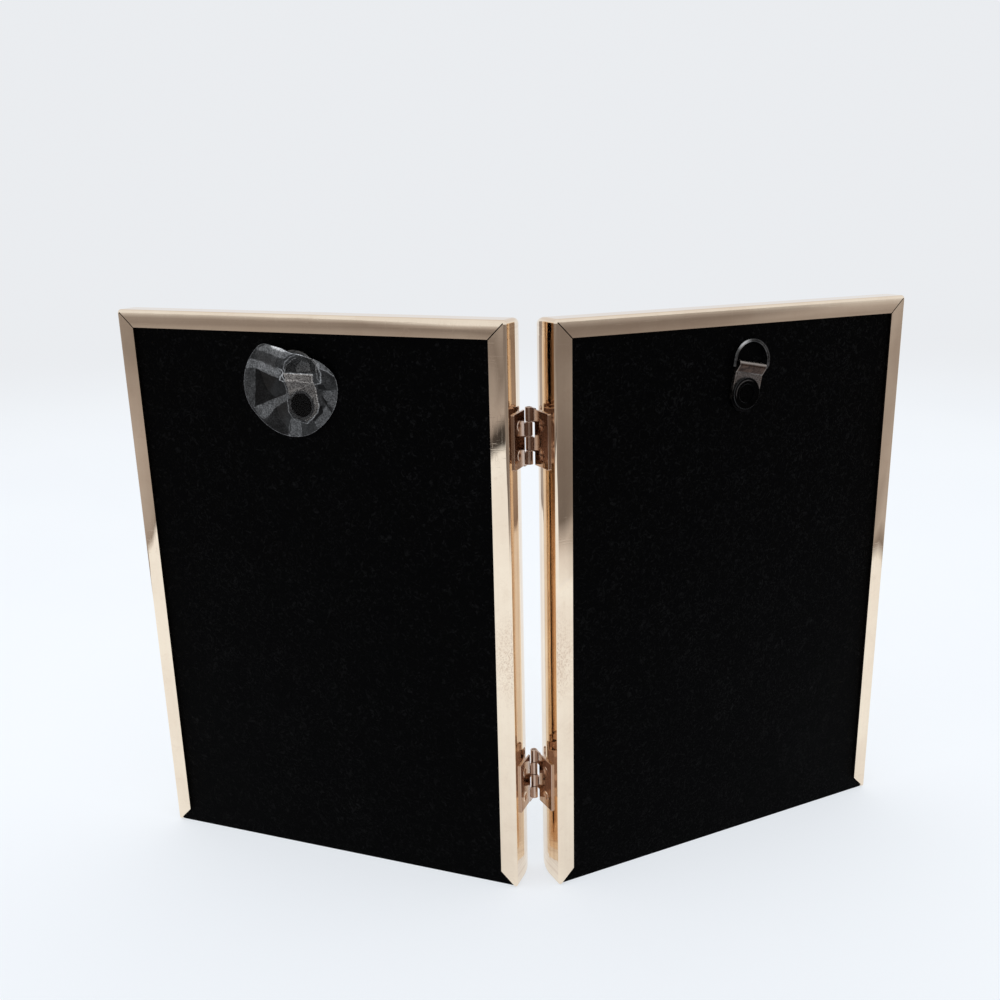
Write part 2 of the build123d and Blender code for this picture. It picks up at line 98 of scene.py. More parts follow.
# Painted shade and painted highlights on a hanger's strap and rivet: places where they begin and end,
# counted from the rivet
strap_foot_shade = (-1.0 * mm, 2.0 * mm)
strap_roll_start = (6.0 * mm, 6.6 * mm)
strap_crest_highlight = (8.7 * mm, 9.3 * mm)
strap_edge_highlight = (4.75 * mm, 5.05 * mm)
dish_highlight_radius = 4.1 * mm
dish_highlight_width = 0.3 * mm
dish_highlight_rise = (1.0 * mm, 3.6 * mm)
rivet_rim_highlight = (4.72 * mm, 4.92 * mm)

# Painted highlight on the shoulder of a hanger's ring, in mm along the strap, outward and about
shoulder_along = 15.4
shoulder_outward = -4.2
shoulder_reach = 3.6


def hanger_middle(side):
    """Place of a hanger's rivet, on the face of its panel."""
    across, back = outward(sides[side]), rearward(sides[side])
    panel_face = span(side + "_back_cover", back)[1]
    rivet = pin + across * middle(side + "_hanger_rivet", across) + back * panel_face
    rivet.z = middle(side + "_hanger_rivet", up)
    return rivet


# Node materials
def add_node(tree, kind, sockets=None, **settings):
    """New node, with its settings made and its sockets set or linked."""
    node = tree.nodes.new(kind)
    for name, value in settings.items():
        setattr(node, name, value)
    for key, value in (sockets or {}).items():
        if isinstance(value, bpy.types.NodeSocket):
            tree.links.new(value, node.inputs[key])
        else:
            node.inputs[key].default_value = value
    return node


def new_material(name):
    """Empty node material with a Principled shader on its output."""
    material = bpy.data.materials.new(name)
    material.use_nodes = True
    tree = material.node_tree
    tree.nodes.clear()
    shader = add_node(tree, "ShaderNodeBsdfPrincipled")
    add_node(tree, "ShaderNodeOutputMaterial", {"Surface": shader.outputs["BSDF"]})
    return material, tree, shader


def connect(tree, shader, **inputs):
    """Sets or links sockets of the shader, named with underscores for spaces."""
    for name, value in inputs.items():
        socket = shader.inputs[name.replace("_", " ")]
        if isinstance(value, bpy.types.NodeSocket):
            tree.links.new(value, socket)
        else:
            socket.default_value = value


def place(tree, stretch=(1, 1, 1)):
    """The piece's own coordinates in metres, stretched along the axes."""
    coordinates = add_node(tree, "ShaderNodeTexCoord")
    if stretch == (1, 1, 1):
        return coordinates.outputs["Object"]
    sockets = {"Vector": coordinates.outputs["Object"], "Scale": stretch}
    return add_node(tree, "ShaderNodeMapping", sockets).outputs["Vector"]


def noise(tree, where, scale, detail=3.0, roughness=0.5, distortion=0.0):
    """Cloudy pattern with about scale features to the metre."""
    sockets = {"Vector": where, "Scale": scale, "Detail": detail}
    sockets |= {"Roughness": roughness, "Distortion": distortion}
    return add_node(tree, "ShaderNodeTexNoise", sockets).outputs["Fac"]


def cell_walls(tree, where, scale):
    """Distance from the walls between cells, with about scale cells to the metre."""
    sockets = {"Vector": where, "Scale": scale}
    return add_node(tree, "ShaderNodeTexVoronoi", sockets, feature="DISTANCE_TO_EDGE").outputs["Distance"]


def level(tree, value, low, high, to_low=0.0, to_high=1.0):
    """Maps low to high of a pattern onto another range, held at its ends."""
    sockets = {"Value": value, "From Min": low, "From Max": high, "To Min": to_low, "To Max": to_high}
    return add_node(tree, "ShaderNodeMapRange", sockets, interpolation_type="SMOOTHSTEP").outputs["Result"]


def calculate(tree, operation, first, second=0.0):
    """Arithmetic on two values."""
    node = add_node(tree, "ShaderNodeMath", {0: first, 1: second}, operation=operation)
    return node.outputs["Value"]


def vector_math(tree, operation, first, second=(0, 0, 0)):
    """Arithmetic on vectors, of which a length or a dot product is one value."""
    sockets = {0: first, 1: second}
    outputs = add_node(tree, "ShaderNodeVectorMath", sockets, operation=operation).outputs
    return outputs["Value" if operation in ("LENGTH", "DOT_PRODUCT") else "Vector"]


def axis_part(tree, vector, axis):
    """Part of a vector along X, Y or Z."""
    return add_node(tree, "ShaderNodeSeparateXYZ", {0: vector}).outputs[axis]


def attribute(tree, name, output="Fac"):
    """Value or colour that a mesh carries at its points."""
    return add_node(tree, "ShaderNodeAttribute", attribute_name=name).outputs[output]


def blend_value(tree, factor, first, second):
    """Value between two values."""
    return add_node(tree, "ShaderNodeMix", {0: factor, 2: first, 3: second}).outputs[0]


def blend_colour(tree, factor, first, second):
    """Colour between two colours."""
    node = add_node(tree, "ShaderNodeMix", {0: factor, 6: first, 7: second}, data_type="RGBA")
    return node.outputs[2]


def relief(tree, height, distance, strength=1.0, normal=None):
    """Bump from a height pattern, its full height in metres."""
    sockets = {"Height": height, "Distance": distance, "Strength": strength}
    if normal is not None:
        sockets["Normal"] = normal
    return add_node(tree, "ShaderNodeBump", sockets).outputs["Normal"]


def colour(red, green, blue):
    """Linear colour with full alpha."""
    return (red, green, blue, 1.0)


def near(tree, middle_mm, reach_mm, inner):
    """1 about a place, fading from a share of its reach to 0 at its reach, in mm along the axes."""
    scale = tuple(1 / (reach * mm) for reach in reach_mm)
    shift = tuple(-place_mm / reach for place_mm, reach in zip(middle_mm, reach_mm))
    sockets = {"Vector": place(tree), "Scale": scale, "Location": shift}
    moved = add_node(tree, "ShaderNodeMapping", sockets).outputs["Vector"]
    return level(tree, vector_math(tree, "LENGTH", moved), inner, 1.0, 1.0, 0.0)


def worn_parts(tree, inner, outer):
    """Edges and hollows of a piece, by how sharply its surface bends."""
    sharpness = add_node(tree, "ShaderNodeNewGeometry").outputs["Pointiness"]
    return level(tree, sharpness, inner, outer)


def shown_rays(tree):
    """1 for rays that show a surface, straight, mirrored or through glass, and 0 for rays that light it."""
    rays = add_node(tree, "ShaderNodeLightPath").outputs
    seen = calculate(tree, "MAXIMUM", rays["Is Camera Ray"], rays["Is Glossy Ray"])
    return calculate(tree, "MAXIMUM", seen, rays["Is Transmission Ray"])


def lip_crown(tree):
    """0 along the middle of each rear lip and 1 at its edges, growing as the square of the distance."""
    where = place(tree)
    aside = calculate(tree, "ABSOLUTE", axis_part(tree, where, "X"))
    behind = calculate(tree, "SUBTRACT", axis_part(tree, where, "Y"), pin.y)
    across = calculate(tree, "MULTIPLY", aside, math.cos(lean))
    depth = calculate(tree, "MULTIPLY", behind, math.sin(lean))
    reach = calculate(tree, "SUBTRACT", across, depth)
    half_lip = lip_width / 2
    hinge_wall, outer_wall = span("right_shell", outward(sides["right"]))
    top_wall = span("right_shell", up)[1]
    from_hinge = calculate(tree, "SUBTRACT", reach, hinge_wall)
    from_outside = calculate(tree, "SUBTRACT", outer_wall, reach)
    from_top = calculate(tree, "SUBTRACT", top_wall, axis_part(tree, where, "Z"))
    from_side = calculate(tree, "MINIMUM", from_hinge, from_outside)
    from_edge = calculate(tree, "MINIMUM", from_side, from_top)
    gap = calculate(tree, "ABSOLUTE", calculate(tree, "SUBTRACT", from_edge, half_lip))
    share = calculate(tree, "MINIMUM", calculate(tree, "DIVIDE", gap, half_lip), 1.0)
    return calculate(tree, "MULTIPLY", share, share)


def plated_metal(name, clean, tarnished, polish, wave_height, drawn=0.0, touched=0.0, crown=0.0):
    """Plated metal, polished, with faint waves, drawn lines, rubbed smears, scratches and tarnish."""
    material, tree, shader = new_material(name)
    where = place(tree)
    tint = level(tree, noise(tree, where, 38, 4, 0.6), 0.35, 0.72)
    mottle = level(tree, noise(tree, where, 520, 6, 0.72, 1.6), 0.5, 0.8)
    smear = level(tree, noise(tree, where, 150, 7, 0.68, 0.9), 0.52, 0.74)
    scratch = level(tree, noise(tree, place(tree, (1, 1, 0.04)), 2600, 2), 0.6, 0.72)
    cross_scratch = level(tree, noise(tree, place(tree, (0.05, 0.05, 1)), 2300, 2), 0.64, 0.74)
    scratches = calculate(tree, "MAXIMUM", scratch, cross_scratch)
    upright_lines = level(tree, noise(tree, place(tree, (1, 1, 0.006)), 820, 1, 0.5), 0.36, 0.66)
    level_lines = level(tree, noise(tree, place(tree, (0.006, 0.006, 1)), 820, 1, 0.5), 0.36, 0.66)
    height = axis_part(tree, where, "Z")
    at_top = level(tree, height, top_rail_foot, top_rail_foot + line_change)
    at_foot = level(tree, height, foot_rail_top - line_change, foot_rail_top, 1.0, 0.0)
    at_rail = calculate(tree, "MAXIMUM", at_top, at_foot)
    lines = blend_value(tree, at_rail, upright_lines, level_lines)
    facing = add_node(tree, "ShaderNodeTexCoord").outputs["Normal"]
    rearward_share = axis_part(tree, facing, "Y")
    on_lip = level(tree, rearward_share, 0.6, 0.85)
    on_face = level(tree, calculate(tree, "ABSOLUTE", rearward_share), 0.5, 0.72)
    line_strength = level(tree, on_face, 0.0, 1.0, drawn, 0.1 * drawn)
    thumb = noise(tree, place(tree, (1.0, 0.5, 0.55)), 1300, 5, 0.66, 2.2)
    held = calculate(tree, "MULTIPLY", near(tree, thumb_middle, thumb_reach, 0.35), on_lip)
    thumbed = calculate(tree, "MULTIPLY", level(tree, thumb, 0.46, 0.6), held)
    hollow = worn_parts(tree, 0.5, 0.44)
    shade = calculate(tree, "MAXIMUM", calculate(tree, "MULTIPLY", tint, 0.26), hollow)
    tone = blend_colour(tree, shade, clean, tarnished)
    smeared = blend_colour(tree, calculate(tree, "MULTIPLY", smear, 0.18), tone, tarnished)
    mottled = blend_colour(tree, calculate(tree, "MULTIPLY", mottle, 0.22), smeared, tarnished)
    lined = blend_colour(tree, calculate(tree, "MULTIPLY", lines, line_strength), mottled, tarnished)
    handled = blend_colour(tree, calculate(tree, "MULTIPLY", thumbed, touched), lined, tarnished)
    dulling = calculate(tree, "ADD", calculate(tree, "MULTIPLY", smear, 0.07), polish)
    thumb_dulling = calculate(tree, "MULTIPLY", thumbed, 0.3 * touched)
    rough = calculate(tree, "ADD", dulling, calculate(tree, "MULTIPLY", scratches, 0.05))
    rough = calculate(tree, "ADD", rough, thumb_dulling)
    waves = relief(tree, noise(tree, where, 46, 2, 0.4), wave_height)
    crowned = relief(tree, calculate(tree, "MULTIPLY", lip_crown(tree), on_lip), -crown, 1.0, waves)
    rolled = relief(tree, calculate(tree, "MULTIPLY", lines, line_strength), 0.000012, 1.0, crowned)
    surface = relief(tree, scratches, -0.000002, 0.5, rolled)
    connect(tree, shader, Base_Color=handled, Metallic=1.0, Roughness=rough, Normal=surface)
    return material


def leatherette(name):
    """Black wrinkled leather cloth over board, with a faint painted sheen on its ridges."""
    material, tree, shader = new_material(name)
    where = place(tree)
    drift = add_node(tree, "ShaderNodeTexNoise", {"Vector": where, "Scale": 330.0, "Detail": 3.0})
    blend = {0: 0.0032, 4: where, 5: drift.outputs["Color"]}
    moved = add_node(tree, "ShaderNodeMix", blend, data_type="VECTOR").outputs[1]
    pebble = level(tree, cell_walls(tree, moved, 480), 0.02, 0.2, 1.0, 0.0)
    wrinkle = level(tree, noise(tree, moved, 560, 4, 0.6, 1.8), 0.5, 0.64)
    grain = calculate(tree, "MULTIPLY", calculate(tree, "ADD", pebble, wrinkle), wrinkle)
    pores = level(tree, noise(tree, where, 2400, 2), 0.35, 0.65)
    wear_and_sheen = level(tree, noise(tree, where, 55, 4, 0.6), 0.45, 0.75)
    # Painted sheen: the grain's ridges lighter, more so in some patches
    ridge_sheen = calculate(tree, "MULTIPLY", grain, level(tree, wear_and_sheen, 0.0, 1.0, 0.6, 1.0))
    base = blend_colour(tree, ridge_sheen, colour(0.0003, 0.0003, 0.0004), colour(0.0046, 0.0046, 0.0048))
    rough = level(tree, wear_and_sheen, 0.0, 1.0, 0.5, 0.42)
    heights = calculate(tree, "ADD", grain, calculate(tree, "MULTIPLY", pores, 0.12))
    surface = relief(tree, heights, 0.00022, 1.0)
    connect(tree, shader, Base_Color=base, Roughness=rough, Normal=surface, Specular_IOR_Level=0.02)
    return material


def dark_steel(name, light, dark, polish, spot_scale):
    """Browned steel with uneven plating and bright rubbed edges."""
    material, tree, shader = new_material(name)
    where = place(tree)
    patch = level(tree, noise(tree, where, spot_scale, 5, 0.65, 0.5), 0.38, 0.68)
    pitting = level(tree, noise(tree, where, spot_scale * 6, 3, 0.6), 0.4, 0.7)
    wear_and_highlight = worn_parts(tree, 0.52, 0.6)
    tone = blend_colour(tree, patch, light, dark)
    wear_and_highlight_tone = blend_colour(tree, wear_and_highlight, tone, light)
    rough = calculate(tree, "ADD", calculate(tree, "MULTIPLY", pitting, 0.16), polish)
    surface = relief(tree, pitting, 0.00002, 0.5)
    connect(tree, shader, Base_Color=wear_and_highlight_tone, Metallic=1.0, Roughness=rough, Normal=surface)
    return material


def strap_steel(name, side):
    """Steel strap: brown and rough over its rolled end, darkened there as painted shade, grey on its flat,
    nearly black at its foot as painted shade, with painted highlights along its crest and side edges.
    """
    material, tree, shader = new_material(name)
    where = place(tree)
    tilt = hanger_tilts[side]
    axis = up * math.cos(tilt) + outward(sides[side]) * math.sin(tilt)
    across_axis = outward(sides[side]) * math.cos(tilt) - up * math.sin(tilt)
    from_rivet = vector_math(tree, "SUBTRACT", where, hanger_middle(side))
    along = vector_math(tree, "DOT_PRODUCT", from_rivet, axis)
    side_gap = calculate(tree, "ABSOLUTE", vector_math(tree, "DOT_PRODUCT", from_rivet, across_axis))
    patch = level(tree, noise(tree, where, 700, 6, 0.7, 0.6), 0.36, 0.68)
    fine = level(tree, noise(tree, where, 2600, 3, 0.6), 0.35, 0.7)
    flat = blend_colour(tree, fine, colour(0.20, 0.18, 0.17), colour(0.085, 0.077, 0.073))
    brown = blend_colour(tree, patch, colour(0.075, 0.05, 0.039), colour(0.022, 0.016, 0.014))
    # Painted shade: the strap's foot nearly black about the rivet
    foot = colour(0.008, 0.008, 0.009)
    lower = blend_colour(tree, level(tree, along, *strap_foot_shade), foot, flat)
    # Painted shade: the rolled end darker brown
    tone = blend_colour(tree, level(tree, along, *strap_roll_start), lower, brown)
    # Painted highlight along the top of the rolled end
    crest = level(tree, along, *strap_crest_highlight, 0.0, 0.8)
    # Painted highlight along the strap's side edges
    edge = level(tree, side_gap, *strap_edge_highlight, 0.0, 0.35)
    wear_and_highlight_tone = blend_colour(tree, calculate(tree, "MAXIMUM", edge, crest), tone, colour(0.36, 0.32, 0.29))
    rough = level(tree, patch, 0.0, 1.0, 0.22, 0.42)
    surface = relief(tree, fine, 0.00002, 0.6)
    connect(tree, shader, Base_Color=wear_and_highlight_tone, Metallic=1.0, Roughness=rough, Normal=surface)
    return material


def rivet_steel(name, side):
    """Blackened rivet, with a painted highlight as a thin pale line round the upper part of its dish and a
    fainter one round its rim.
    """
    material, tree, shader = new_material(name)
    where = place(tree)
    across, back = outward(sides[side]), rearward(sides[side])
    from_middle = vector_math(tree, "SUBTRACT", where, hanger_middle(side))
    behind = vector_math(tree, "PROJECT", from_middle, back)
    within = vector_math(tree, "SUBTRACT", from_middle, behind)
    radius = vector_math(tree, "LENGTH", within)
    # Painted highlight: a thin pale arc round the upper part of the dish
    height = vector_math(tree, "DOT_PRODUCT", within, up * 0.8 - across * 0.6)
    off_line = calculate(tree, "ABSOLUTE", calculate(tree, "SUBTRACT", radius, dish_highlight_radius))
    beside = level(tree, off_line, 0.0, dish_highlight_width, 1.0, 0.0)
    line = calculate(tree, "MULTIPLY", beside, level(tree, height, *dish_highlight_rise))
    # Painted highlight round the rivet's rim
    rim = level(tree, radius, *rivet_rim_highlight, 0.0, 0.35)
    patch = level(tree, noise(tree, where, 600, 5, 0.65, 0.5), 0.38, 0.68)
    pitting = level(tree, noise(tree, where, 3000, 3, 0.6), 0.4, 0.7)
    dark = blend_colour(tree, patch, colour(0.0028, 0.0028, 0.003), colour(0.0008, 0.0008, 0.0009))
    tone = blend_colour(tree, calculate(tree, "MAXIMUM", line, rim), dark, colour(0.12, 0.12, 0.12))
    rough = level(tree, pitting, 0.0, 1.0, 0.22, 0.42)
    surface = relief(tree, pitting, 0.00001, 0.5)
    connect(tree, shader, Base_Color=tone, Metallic=1.0, Roughness=rough, Normal=surface)
    return material


def ring_steel(name, side):
    """Dark wire, with a painted highlight where the ring's shoulder stands proud."""
    material, tree, shader = new_material(name)
    where = place(tree)
    tilt = hanger_tilts[side]
    rise = shoulder_along * math.cos(tilt)
    aside = shoulder_along * math.sin(tilt) + shoulder_outward
    shoulder = hanger_middle(side) / mm + up * rise + outward(sides[side]) * aside
    # Painted highlight on the ring's shoulder
    wear_and_highlight = near(tree, tuple(shoulder), (shoulder_reach,) * 3, 0.2)
    patch = level(tree, noise(tree, where, 900, 5, 0.65, 0.5), 0.36, 0.7)
    pitting = level(tree, noise(tree, where, 3200, 3, 0.6), 0.4, 0.7)
    dark = blend_colour(tree, patch, colour(0.07, 0.068, 0.066), colour(0.018, 0.018, 0.018))
    tone = blend_colour(tree, wear_and_highlight, dark, colour(0.62, 0.62, 0.62))
    rough = level(tree, pitting, 0.0, 1.0, 0.14, 0.3)
    surface = relief(tree, pitting, 0.00001, 0.5)
    connect(tree, shader, Base_Color=tone, Metallic=1.0, Roughness=rough, Normal=surface)
    return material


glass_density = 1.5


def clear_glass(name):
    """Thin float glass: clear face on, more of a mirror at a slant, with a little dust."""
    material, tree, shader = new_material(name)
    where = place(tree)
    dust = level(tree, noise(tree, where, 900, 6, 0.7), 0.55, 0.8)
    wipe = level(tree, noise(tree, place(tree, (1, 1, 0.3)), 26, 4, 0.6), 0.5, 0.75)
    dusty = calculate(tree, "MULTIPLY", dust, 0.012)
    haze = calculate(tree, "ADD", dusty, calculate(tree, "MULTIPLY", wipe, 0.006))
    inner_face = add_node(tree, "ShaderNodeNewGeometry").outputs["Backfacing"]
    density = blend_value(tree, inner_face, glass_density, 1 / glass_density)
    slant = add_node(tree, "ShaderNodeFresnel", {"IOR": density}).outputs["Fac"]
    cover = calculate(tree, "ADD", slant, haze)
    tint = blend_colour(tree, dust, colour(0.93, 0.97, 0.95), colour(0.85, 0.87, 0.86))
    rough = calculate(tree, "ADD", calculate(tree, "MULTIPLY", dust, 0.2), 0.02)
    ripple = relief(tree, noise(tree, where, 14, 2), 0.00001, 0.5)
    connect(tree, shader, Base_Color=tint, Metallic=1.0, Roughness=rough, Alpha=cover, Normal=ripple)
    return material


def fibre_sheet(name, pale, deep, fibre_scale, relief_height):
    """Paper, card or pressed board with matted fibres and darker flecks."""
    material, tree, shader = new_material(name)
    where = place(tree)
    long_fibres = noise(tree, place(tree, (1, 1, 0.25)), fibre_scale, 6, 0.7, 0.8)
    cross_fibres = noise(tree, place(tree, (0.3, 0.3, 1)), fibre_scale, 6, 0.7, 0.8)
    fibres = calculate(tree, "MAXIMUM", long_fibres, cross_fibres)
    fleck = level(tree, noise(tree, where, fibre_scale * 0.9, 2), 0.66, 0.74)
    cloud = level(tree, noise(tree, where, 30, 3), 0.35, 0.7)
    base = blend_colour(tree, level(tree, fibres, 0.42, 0.72), deep, pale)
    clouded = blend_colour(tree, calculate(tree, "MULTIPLY", cloud, 0.25), base, deep)
    flecked = blend_colour(tree, calculate(tree, "MULTIPLY", fleck, 0.5), clouded, deep)
    surface = relief(tree, fibres, relief_height, 0.6)
    connect(tree, shader, Base_Color=flecked, Roughness=0.85, Normal=surface, Specular_IOR_Level=0.3)
    return material


def finish_pieces():
    """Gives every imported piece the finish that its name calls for."""
    rose_gold = colour(0.965, 0.83, 0.66)
    rose_brown = colour(0.68, 0.50, 0.37)
    copper_brown = colour(0.34, 0.23, 0.17)
    hinge_rose = colour(0.54, 0.395, 0.31)
    rivet_rose = colour(0.86, 0.70, 0.58)
    pin_light, pin_dark = colour(0.6, 0.52, 0.45), colour(0.35, 0.28, 0.22)
    paper_pale, paper_deep = colour(0.93, 0.92, 0.90), colour(0.85, 0.84, 0.81)
    card_pale, card_deep = colour(0.52, 0.40, 0.27), colour(0.30, 0.21, 0.13)
    board_pale, board_deep = colour(0.10, 0.075, 0.05), colour(0.04, 0.028, 0.02)
    finishes = {
        "_shell": plated_metal(
            "rose_gold_polish", rose_gold, rose_brown, 0.028, 0.00003,
            drawn=0.45, touched=0.8, crown=0.00006,
        ),
        "_hinge_leaf": plated_metal("rose_gold_hinge", hinge_rose, copper_brown, 0.1, 0.00003, drawn=0.35),
        "_hinge_rivets": plated_metal("rose_gold_rivet", rivet_rose, copper_brown, 0.08, 0.00002),
        "_hinge_pin": dark_steel("pin_steel", pin_light, pin_dark, 0.2, 400),
        "_glass": clear_glass("float_glass"),
        "_photo_insert": fibre_sheet("insert_paper", paper_pale, paper_deep, 1500, 0.00002),
        "_packing_card": fibre_sheet("packing_card", card_pale, card_deep, 900, 0.00006),
        "_backing_board": fibre_sheet("backing_board", board_pale, board_deep, 700, 0.00008),
        "_back_cover": leatherette("black_leatherette"),
    }
    for side in sides:
        finishes[side + "_hanger_rivet"] = rivet_steel(side + "_dark_rivet", side)
        finishes[side + "_hanger_strap"] = strap_steel(side + "_strap_steel", side)
        finishes[side + "_hanger_ring"] = ring_steel(side + "_ring_wire", side)
    for name, piece in nodes.items():
        for ending, material in finishes.items():
            if name.endswith(ending):
                piece.data.materials.clear()
                piece.data.materials.append(material)


# Clear sticker draped over the right frame's hanger: sizes in mm, its middle counted from the rivet,
# and the haze with painted sheen of its plain film and its rim
strap_width = 10.4
strap_foot = 5.85
strap_flat_top = 1.25
rivet_to_bar = 8.6
roll_half_height = 1.2
ring_width = 14.0
ring_height = 8.4
wire_diameter = 1.25
sticker_outward = 4.2
sticker_up = 5.0
film_clearance = 0.12
film_lift = 0.12
film_fall = 0.4
film_rings = 104
film_spokes = 432
film_waviness = 0.06
arc_step_degrees = 15
plain_haze_and_sheen = 0.1
rim_haze_and_sheen = 0.38
rim_half_width = 0.14

# Rim of the film, as degrees from outward and distance from the sticker's middle in mm
film_rim = (
    (0, 17), (30, 16.5), (53, 16), (72, 13), (103, 11), (128, 12.5), (146, 14.5), (167, 16), (195, 15.5),
    (230, 15), (283, 15.5), (323, 16), (344, 17),
)


def rivet_arc(radius, first_degrees, last_degrees):
    """Places along an arc about the rivet, counted from the sticker's middle in mm."""
    turns = [math.radians(turn) for turn in range(first_degrees, last_degrees + 1, arc_step_degrees)]
    places = [(radius * math.cos(turn), radius * math.sin(turn)) for turn in turns]
    return tuple((out - sticker_outward, rise - sticker_up) for out, rise in places)


# Facets of the film, as haze with painted sheen and shade, and corners outward and up from the sticker's
# middle, in mm
film_facets = {
    "cap": (0.3, ((11.5, 11), (6.5, 13), (2.5, 12.5), (-4.5, 11.5), (-8, 10), (-3, 10.5), (0, 9), (4, 10))),
    "cap_end": (0.24, ((-8, 10), (-13, 8), (-14.5, 4), (-12, 6.5), (-11, 8))),
    "upper_dark": (0.13, ((11.5, 11), (4, 10), (0.5, 9), (0.5, 7), (2.5, 6), (12.5, 8))),
    "upper_band": (0.31, (
        (15.5, 6), (14.5, 8), (12.5, 8), (2.5, 6), (1.5, 5.5), (2, 3), (12.5, 5.5), (16, 4.5),
    )),
    "outer_rim": (0.14, ((16, 5), (12.5, 5.5), (14, -7), (15.5, -6), (17, -2.5), (17, 1))),
    "outer_dark": (0.045, ((12.5, 5.5), (2, 3), (1, 1.5), (1, -2), (14, -7))),
    "wedge": (0.235, (
        (14, -7), (1, -2), (-6.5, 1.5), (-9, 2), (-5, 0.5), (-0.5, -3), (7, -7), (7.5, -8), (10.5, -10.5),
        (12.5, -9.5),
    )),
    "lower_dark": (0.065, (
        (7.5, -8), (7, -7), (0.5, -4), (0.5, -7), (-1, -9), (1, -11.5), (2.5, -15.5), (7, -14),
        (10.5, -11.5),
    )),
    "foot_band": (0.215, ((0, -9.5), (-2, -9), (-3.5, -10), (-2, -15.5), (2.5, -15.5))),
    "foot_dark": (0.1, ((-3.5, -10), (-6, -10.5), (-8.5, -12.5), (-4.5, -14.5), (-2, -15.5))),
    "lower_band": (0.22, ((-8, -10), (-9.5, -8.5), (-12.5, -4), (-13.5, -7), (-11.5, -10), (-8.5, -12.5))),
    "inner_band": (0.185, ((-10.5, -1.5), (-11.5, -0.5), (-15.5, 0), (-15, -4), (-14, -6.5), (-11.5, -2.5))),
    "inner_dark": (0.09, ((-11.5, 6.5), (-15.5, 4), (-15.5, 0), (-11.5, -0.5), (-10.5, 1.5))),
    "pocket": (0.01, ((-10, 1.5), (-12, 1.5), (-12.5, 0), (-10, 0))),
    "low_pocket": (0.01, ((-10, -5), (-11, -5), (-11, -7), (-8, -9.5), (-7, -9.5), (-9, -7))),
    "ring_dark": (0.07, ((0, 7), (-2.5, 9), (-6, 10), (-9, 10), (-11, 8), (-11, 5), (0.5, 5))),
    "ring_light": (0.165, ((-3, 6.5), (-5.5, 8.5), (-8.5, 8), (-8.5, 5.5), (-3.5, 5))),
    "strap_roll": (0.3, ((1, 4.5), (-9, 4.5), (-9, 2), (0.5, 2))),
    "strap_face": (0.24, ((0.5, 2), (-9, 2), (-9.5, -1.5), (-10, -5), (-9, -7.5), (-5.5, -10), (0.5, -1))),
    "rivet_rim": (0.11, rivet_arc(4.5, 0, 345)),
    "rivet_dish": (0, rivet_arc(3.6, 0, 345)),
}

# Facets through which the hanger shows, as how far the film clears there
film_windows = {
    "ring_dark": 0.35, "ring_light": 0.35, "strap_roll": 1, "strap_face": 1, "rivet_rim": 0.35,
    "rivet_dish": 0.35,
}

